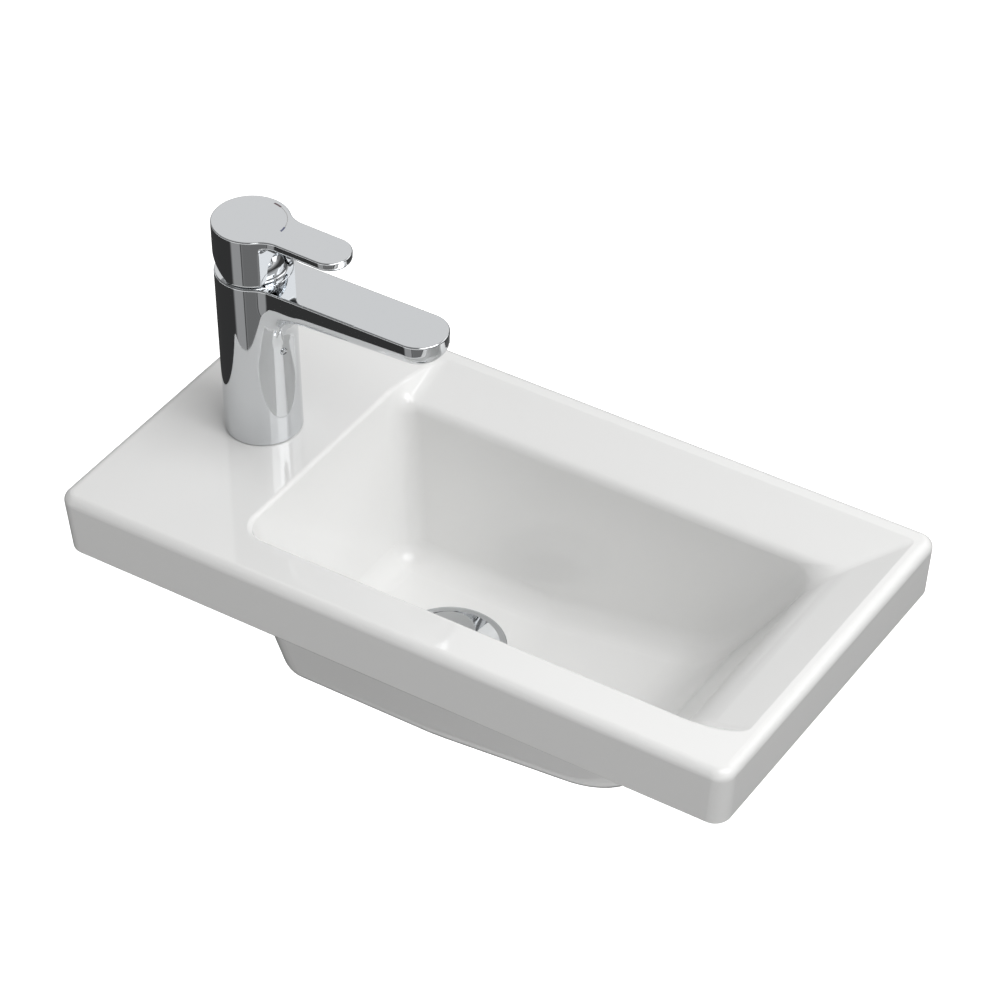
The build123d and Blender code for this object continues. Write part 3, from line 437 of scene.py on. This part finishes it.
def upright(radius, middle, heights, sides=96):  # a cylinder to cut with
    ring = [(middle[0] + radius * math.cos(a), middle[1] + radius * math.sin(a))
            for a in (2 * math.pi * k / sides for k in range(sides))]
    return prism("borer", ring, lambda u, v, w: (u, v, w), heights)


def cutAway(piece, cutters):
    bpy.context.view_layer.objects.active = piece
    for cutter in cutters:
        cut = piece.modifiers.new("cut", "BOOLEAN")
        cut.operation = "DIFFERENCE"
        cut.solver = "EXACT"
        cut.object = cutter
        bpy.ops.object.modifier_apply(modifier=cut.name)
        bpy.data.objects.remove(cutter, do_unlink=True)


def smoothCasting(piece, angle=30):
    bpy.ops.object.select_all(action="DESELECT")
    piece.select_set(True)
    bpy.context.view_layer.objects.active = piece
    bpy.ops.object.shade_smooth_by_angle(angle=math.radians(angle))
    even = piece.modifiers.new("evenNormals", "WEIGHTED_NORMAL")
    even.keep_sharp = True
    bpy.ops.object.modifier_apply(modifier=even.name)


def lathe(name, profile, material, turns=128, way=Vector((0, 0, 1)), start=None):
    # a closed profile of (radius, height) spun about way through start
    start = start or tapAxis
    spin = way.to_track_quat("Z", "X")
    skin = bmesh.new()
    loops = []
    for k in range(turns):
        a = 2 * math.pi * k / turns
        loops.append(
            [skin.verts.new(start + spin @ Vector((r * math.cos(a), r * math.sin(a), z)) * mm) for r, z in profile]
        )
    for k, line in enumerate(loops):
        beside = loops[(k + 1) % turns]
        for j in range(len(profile)):
            i = (j + 1) % len(profile)
            skin.faces.new((line[j], line[i], beside[i], beside[j]))
    bmesh.ops.remove_doubles(skin, verts=skin.verts, dist=0.0005 * mm)
    bmesh.ops.recalc_face_normals(skin, faces=skin.faces)
    mesh = bpy.data.meshes.new(name)
    skin.to_mesh(mesh)
    skin.free()
    piece = bpy.data.objects.new(name, mesh)
    bpy.context.scene.collection.objects.link(piece)
    mesh.materials.append(material)
    smoothCasting(piece)
    return piece


# Mixer body: barrel and spout in one casting, thick and well rounded below
spout = {
    "halfWidth": 17.2,
    "reach": 131.5,
    "neck": 20,
    "rootThickness": 20.6,
    "tipThickness": 16,
}
underSlope = (spout["rootThickness"] - spout["tipThickness"]) / (spout["reach"] - barrelRadius)
body = castArm(
    "mixerBody",
    keyholeOutline(spout["halfWidth"], spout["reach"], spout["neck"]),
    {
        "top": lambda x: bodyHeight,
        "under": lambda x: bodyHeight - spout["rootThickness"] + underSlope * (x - barrelRadius),
        "topRound": 1,
        "lowerRound": 10.5,
        "blend": 24,
        "bottom": 0.4,
        "hem": 0.6,
    },
)
cutAway(
    body,
    [
        upright(20.3, (0, 0), (111.4, 120)),
        upright(23.1, (0, 0), (113.2, 120), 192),
        upright(18.5, (0, 0), (76, 112)),
        upright(21.7, (0, 0), (-1, 2)),
        upright(4.2, (-11, 0), (1, 16), 48),
        upright(4.5, (3.5, 7.5), (1, 18), 48),
        upright(4.5, (3.5, -7.5), (1, 18), 48),
        upright(10.45, (112, 0), (80, 108)),
    ],
)
smoothCasting(body)
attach(body, "root")
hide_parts("tap_body")

# Lever: a cap with a flat front and an arched opening over the dome, and a paddle handle
lever = {
    "height": 147.5,
    "fall": 0.0227,  # slope of the top towards the tip
    "halfWidth": 13.1,
    "reach": 67.4,
    "neck": 17,
    "thickness": 6.3,
    "front": 16.6,
    "bottom": 114,
    "hem": 2.6,
}
frontCorner = math.degrees(math.acos(lever["front"] / barrelRadius))


def leverTop(x):
    return lever["height"] - lever["fall"] * (x + barrelRadius)


cap = castArm(
    "mixerLever",
    keyholeOutline(lever["halfWidth"], lever["reach"], lever["neck"], (frontCorner, -frontCorner)),
    {
        "top": leverTop,
        "under": lambda x: leverTop(x) - lever["thickness"],
        "topRound": 0.9,
        "lowerRound": 3,
        "blend": 4,
        "front": lever["front"],
        "bottom": lever["bottom"],
        "hem": lever["hem"],
    },
)
archRadius = 9.6
archMiddle = 119.8
flare = 6.5
archSide = arcPoints((archRadius + flare, archMiddle + 0.5), flare, 262, 180)
archCorners = [(archSide[0][0], 108)] + archSide + arcPoints((0, archMiddle + 0.5), archRadius, 0, 180)[1:]
archCorners += [(-u, v) for u, v in reversed(archSide[:-1])] + [(-archSide[0][0], 108)]
wedgeStart = 0.6  # far enough forward for the lifted lever to clear the cover's flange
wedgeSlope = math.tan(math.radians(36))
wedge = [(wedgeStart, 114), (wedgeStart + 1, 100), (-60, 100), (-60, 114 + (60 + wedgeStart) * wedgeSlope)]
bpy.ops.mesh.primitive_uv_sphere_add(
    segments=96, ring_count=48, radius=20.2 * mm, location=tapAxis + Vector((0, 0, pivotHeight)) * mm
)
cavity = bpy.context.active_object
bpy.ops.object.transform_apply(location=True)
cutAway(
    cap,
    [
        prism("arch", archCorners, lambda u, v, w: (w, u, v), (8, 30)),
        prism("wedge", wedge, lambda u, v, w: (u, w, v), (-40, 40)),
        cavity,
        prism(
            "grubHole",
            arcPoints((0, 137.6), 2.6, 0, 360, 0.4)[:-1],
            lambda u, v, w: (w, u, v),
            (-30, -6),
        ),
    ],
)
smoothCasting(cap)
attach(cap, "lever")
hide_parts("lever")
print("castings made:", len(body.data.polygons), "and", len(cap.data.polygons), "faces")

# Cover: a dome on a thin flange that closes the seat in the body
flange = [(22.8, 113.25), (22.8, 113.7), (22.6, 113.9), (21.2, 113.92)]
foot = arcPoints((20.6, 116.22), 2.3, 270, 180, 0.3)
dome = arcPoints((7.6, 117.3), 10.7, 0, 80)
inside = [(9.4, 126.2), (13.5, 124.2), (16.2, 120.5), (16.9, 117), (16.9, 113.4), (18.6, 113.2), (18.6, 111.5)]
coverLine = flange + foot + dome + inside + [(20, 111.5), (20, 113.25)]
cover = lathe("cartridgeDome", coverLine, chromePlate)
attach(cover, "root")
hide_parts("cartridge_cover")

# Marks let into the lever's top: the swing from hot to cold, as thin enamelled lines
hotEnamel, tree, shader, coordinates = startMaterial("hotEnamel", "#5E4C50", roughness=0.35)
addGrain(tree, shader, coordinates, 1 * mm, 0.01 * mm)
coldEnamel, tree, shader, coordinates = startMaterial("coldEnamel", "#565A74", roughness=0.35)
addGrain(tree, shader, coordinates, 1 * mm, 0.01 * mm)
greyEnamel, tree, shader, coordinates = startMaterial("greyEnamel", "#A9A9A9", roughness=0.4)
addGrain(tree, shader, coordinates, 1 * mm, 0.01 * mm)
marks = [  # name, from and to in degrees, width, enamel
    ("swingMark", 12, 71, 0.5, greyEnamel),
    ("hotMark", 71, 87, 1.2, hotEnamel),
    ("coldMark", -1, 12, 1.2, coldEnamel),
]
for name, start, end, width, enamel in marks:
    inner = arcPoints((1.2, 0), 19.8 - width / 2, start, end)
    outer = arcPoints((1.2, 0), 19.8 + width / 2, start, end)
    outer = [outer[round(k * (len(outer) - 1) / (len(inner) - 1))] for k in range(len(inner))]
    mark = prism(name, inner + outer[::-1], lambda u, v, w: (u, v, leverTop(u) + w), (-0.2, 0.03))
    mark.data.materials.append(enamel)
    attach(mark, "lever")

# Ring pressed round the chain plug, dished in the middle
plugWay = Vector((math.cos(math.radians(-16)), math.sin(math.radians(-16)), 0))
plugFoot = tapAxis + (plugWay * barrelRadius + Vector((0, 0, 65.5))) * mm
ringLine = [(0.5, -1.5), (0.5, 0.3), (1.1, 0.35), (1.35, 0.8), (1.75, 1), (2.1, 0.8), (2.25, 0.2), (2.25, -1.5)]
plugRing = lathe("chainPlugRing", ringLine, chromePlate, 48, plugWay, plugFoot)
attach(plugRing, "root")
print("dome, marks and ring made")
